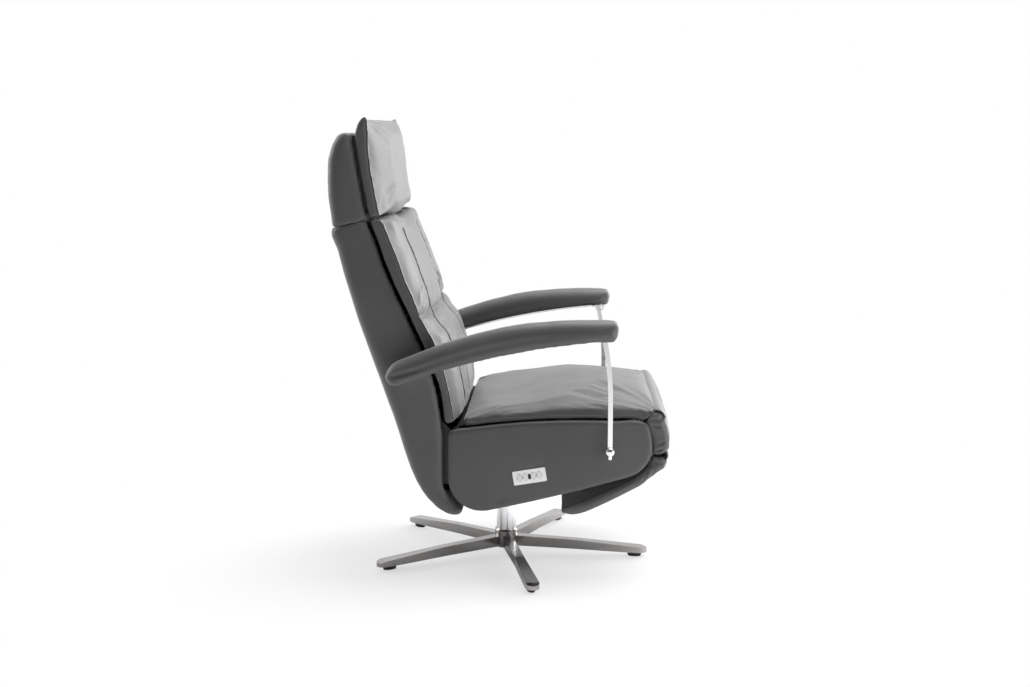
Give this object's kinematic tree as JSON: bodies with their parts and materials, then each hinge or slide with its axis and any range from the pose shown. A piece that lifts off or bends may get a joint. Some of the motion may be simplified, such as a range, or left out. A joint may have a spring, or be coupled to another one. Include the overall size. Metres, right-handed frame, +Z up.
{
  "type": "swivel recliner",
  "caption": "Padded leather swivel recliner with a tilting headrest, armrests that follow the back, a folding leg rest and a polished star base",
  "frame": {"origin": "on the floor at the swivel axis, which is also the middle of the part's footprint at rest", "axes": "+X to the front of the chair, +Y to the sitter's left, +Z up"},
  "size_m": [0.801, 0.722, 1.0985],
  "materials": {
    "leather": "fine-grained dark graphite leather over foam, soft sheen",
    "chrome": "polished",
    "steel": "zinc-plated, satin",
    "plywood": "raw plywood",
    "board": "plywood covered with dark cloth",
    "lining": "black lining cloth",
    "black_plastic": "matte black",
    "silver": "satin silver",
    "lens": "gloss black window"
  },
  "bodies": {
    "base": {"star_base": "chrome", "glides": "black_plastic", "column_tube": "chrome", "thrust_bearing": "steel"},
    "seat": {"swivel_spindle": "steel", "swivel_plate": "steel", "swivel_beams": "steel", "seat_rail_left": "plywood", "seat_rail_right": "plywood", "seat_cross_rails": "plywood", "nose_board": "plywood", "seat_springs": "steel", "seat_deck": "lining", "bottom_cover": "lining", "side_panel_left": "leather", "side_panel_right": "leather", "seat_cushion": "leather", "strut_bolts": "chrome", "leg_hinge_top_leaves": "steel", "leg_hinge_top_pins": "steel", "recline_drive": "black_plastic", "leg_drive": "black_plastic", "control_box": "black_plastic", "keypad_housing": "black_plastic", "keypad_plate": "silver", "keypad_lens": "lens"},
    "button_1": {"button_1": "silver"},
    "button_2": {"button_2": "silver"},
    "button_3": {"button_3": "silver"},
    "button_4": {"button_4": "silver"},
    "recline_rod": {"recline_rod": "steel"},
    "leg_rod": {"leg_rod": "steel"},
    "back": {"recline_shaft": "steel", "recline_brackets": "steel", "back_boards": "plywood", "back_cross_bars": "steel", "back_springs": "steel", "back_shell": "leather", "back_cushion": "leather", "arm_bolts": "steel", "head_hinge_lower": "steel"},
    "headrest": {"headrest_frame": "steel", "headrest_board": "plywood", "headrest_shell": "leather", "headrest_cushion": "leather"},
    "arm_left": {"arm_rail_left": "chrome", "arm_pad_left": "leather"},
    "arm_right": {"arm_rail_right": "chrome", "arm_pad_right": "leather"},
    "strut_left": {"arm_strut_left": "chrome"},
    "strut_right": {"arm_strut_right": "chrome"},
    "calf_rest": {"calf_board": "board", "calf_cushion": "leather", "calf_leaves": "steel", "leg_lever": "steel", "foot_pins": "steel"},
    "foot_rest": {"foot_board": "board", "foot_cushion": "leather", "foot_leaves": "steel"}
  },
  "joints": [
    {"name": "swivel", "type": "hinge", "parent": "base", "child": "seat", "pos_m": [0, 0, 0.2], "axis": [0, 0, 1], "continuous": true},
    {"name": "recline", "type": "hinge", "parent": "seat", "child": "back", "pos_m": [-0.047, 0, 0.26], "axis": [0, -1, 0], "range_deg": [0, 35]},
    {"name": "headrest_tilt", "type": "hinge", "parent": "back", "child": "headrest", "pos_m": [-0.285, 0, 0.8717], "axis": [0, 1, 0], "range_deg": [0, 30]},
    {"name": "arm_left_pivot", "type": "hinge", "parent": "back", "child": "arm_left", "pos_m": [-0.234, 0.295, 0.52], "axis": [0, -1, 0], "range_deg": [-22.3, 0]},
    {"name": "strut_left_pivot", "type": "hinge", "parent": "seat", "child": "strut_left", "pos_m": [0.2538, 0.303, 0.3318], "axis": [0, -1, 0], "range_deg": [0, 33.4]},
    {"name": "arm_right_pivot", "type": "hinge", "parent": "back", "child": "arm_right", "pos_m": [-0.234, -0.295, 0.52], "axis": [0, -1, 0], "range_deg": [-22.3, 0]},
    {"name": "strut_right_pivot", "type": "hinge", "parent": "seat", "child": "strut_right", "pos_m": [0.2538, -0.303, 0.3318], "axis": [0, -1, 0], "range_deg": [0, 33.4]},
    {"name": "leg_rest", "type": "hinge", "parent": "seat", "child": "calf_rest", "pos_m": [0.366, 0, 0.42], "axis": [0, -1, 0], "range_deg": [0, 75]},
    {"name": "foot_fold", "type": "hinge", "parent": "calf_rest", "child": "foot_rest", "pos_m": [0.378, 0, 0.317], "axis": [0, -1, 0], "range_deg": [0, 66.1]},
    {"name": "recline_drive_travel", "type": "slide", "parent": "seat", "child": "recline_rod", "axis": [-1, 0, 0], "range_m": [0, 0.0361]},
    {"name": "leg_drive_travel", "type": "slide", "parent": "seat", "child": "leg_rod", "axis": [1, 0, 0], "range_m": [0, 0.115]},
    {"name": "button_1_press", "type": "slide", "parent": "seat", "child": "button_1", "axis": [0, 1, 0], "range_m": [0, 0.001], "stiffness_N_per_m": 600},
    {"name": "button_2_press", "type": "slide", "parent": "seat", "child": "button_2", "axis": [0, 1, 0], "range_m": [0, 0.001], "stiffness_N_per_m": 600},
    {"name": "button_3_press", "type": "slide", "parent": "seat", "child": "button_3", "axis": [0, 1, 0], "range_m": [0, 0.001], "stiffness_N_per_m": 600},
    {"name": "button_4_press", "type": "slide", "parent": "seat", "child": "button_4", "axis": [0, 1, 0], "range_m": [0, 0.001], "stiffness_N_per_m": 600}
  ],
  "couplings": [
    {"joint": "arm_left_pivot", "follows": "recline", "ratio": -0.635},
    {"joint": "arm_right_pivot", "follows": "recline", "ratio": -0.635},
    {"joint": "strut_left_pivot", "follows": "recline", "ratio": 0.9525},
    {"joint": "strut_right_pivot", "follows": "recline", "ratio": 0.9525},
    {"joint": "recline_drive_travel", "follows": "recline", "m_per_rad": 0.05907},
    {"joint": "foot_fold", "follows": "leg_rest", "ratio": 0.88},
    {"joint": "leg_drive_travel", "follows": "leg_rest", "m_per_rad": 0.08778}
  ]
}
